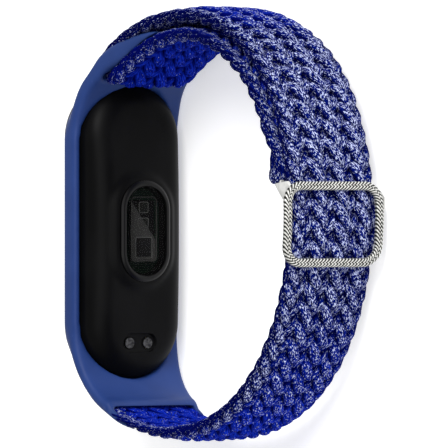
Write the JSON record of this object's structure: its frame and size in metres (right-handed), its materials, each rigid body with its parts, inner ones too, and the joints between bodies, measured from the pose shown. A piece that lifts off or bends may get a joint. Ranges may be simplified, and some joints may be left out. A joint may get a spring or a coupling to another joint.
{
  "type": "fitness tracker band",
  "caption": "Wrist loop of braided elastic with a slider buckle, a silicone cradle and a removable pill-shaped tracker capsule with a rear optical sensor.",
  "frame": {"origin": "centre of the band's footprint as it lies on its side, on the surface it lies on", "axes": "+X along the capsule's long axis towards the strap's folded end, +Y from the buckle to the display, +Z across the band's width"},
  "size_m": [0.066, 0.0626, 0.02],
  "materials": {
    "silicone": "soft matte moulded silicone",
    "braid": "heathered blue elastic braid",
    "thread": "matte sewing thread",
    "buckle_steel": "bright metal with a twisted-rope pattern",
    "steel": "plain bright",
    "black_shell": "satin black",
    "display_glass": "polished black glass",
    "sensor_glass": "polished dark tinted window",
    "adhesive": "matte foam tape",
    "display": "glossy display panel",
    "chassis": "moulded frame",
    "board": "solder mask",
    "flex": "polyimide film",
    "chip": "moulded epoxy",
    "battery": "pouch foil",
    "gold": "gold plated",
    "led": "clear lens",
    "photodiode": "dark silicon",
    "tungsten": "sintered"
  },
  "bodies": {
    "root": {"cradle": "silicone", "strap_outer_run": "braid", "strap_inner_run": "braid", "strap_stretch_section": "braid"},
    "buckle": {"buckle_frame": "buckle_steel", "buckle_anchor_pin": "steel", "strap_end_loop": "braid", "end_bartack": "thread"},
    "capsule": {"capsule_shell": "black_shell", "sensor_bezel": "black_shell", "sensor_window": "sensor_glass", "sensor_board": "board", "emitter_upper": "led", "emitter_middle": "led", "photodiode": "photodiode", "light_barrier": "chip", "contact_left": "steel", "contact_right": "steel", "contact_spring_left": "gold", "contact_spring_right": "gold", "main_board": "board", "processor_shield": "steel", "motion_sensor_chip": "chip", "radio_chip": "chip", "battery_cell": "battery", "battery_flex": "flex", "inner_frame": "chassis", "display_panel": "display", "display_flex": "flex", "glass_adhesive": "adhesive", "front_glass": "display_glass", "antenna_strip": "gold", "motor_case": "steel", "motor_lid": "steel", "motor_shaft": "steel"},
    "motor_rotor": {"motor_weight": "tungsten"}
  },
  "joints": [
    {"name": "buckle_slide", "type": "hinge", "parent": "root", "child": "buckle", "pos_m": [0.00146, 0.007, 0.01], "axis": [0, 0, 1], "range_deg": [-8, 8], "deforming": ["strap_stretch_section"]},
    {"name": "capsule_release", "type": "slide", "parent": "root", "child": "capsule", "axis": [0, 1, 0], "range_m": [0, 0.012]},
    {"name": "motor_spin", "type": "hinge", "parent": "capsule", "child": "motor_rotor", "pos_m": [0.0162, 0.0256, 0.01], "axis": [0, 1, 0], "continuous": true}
  ]
}
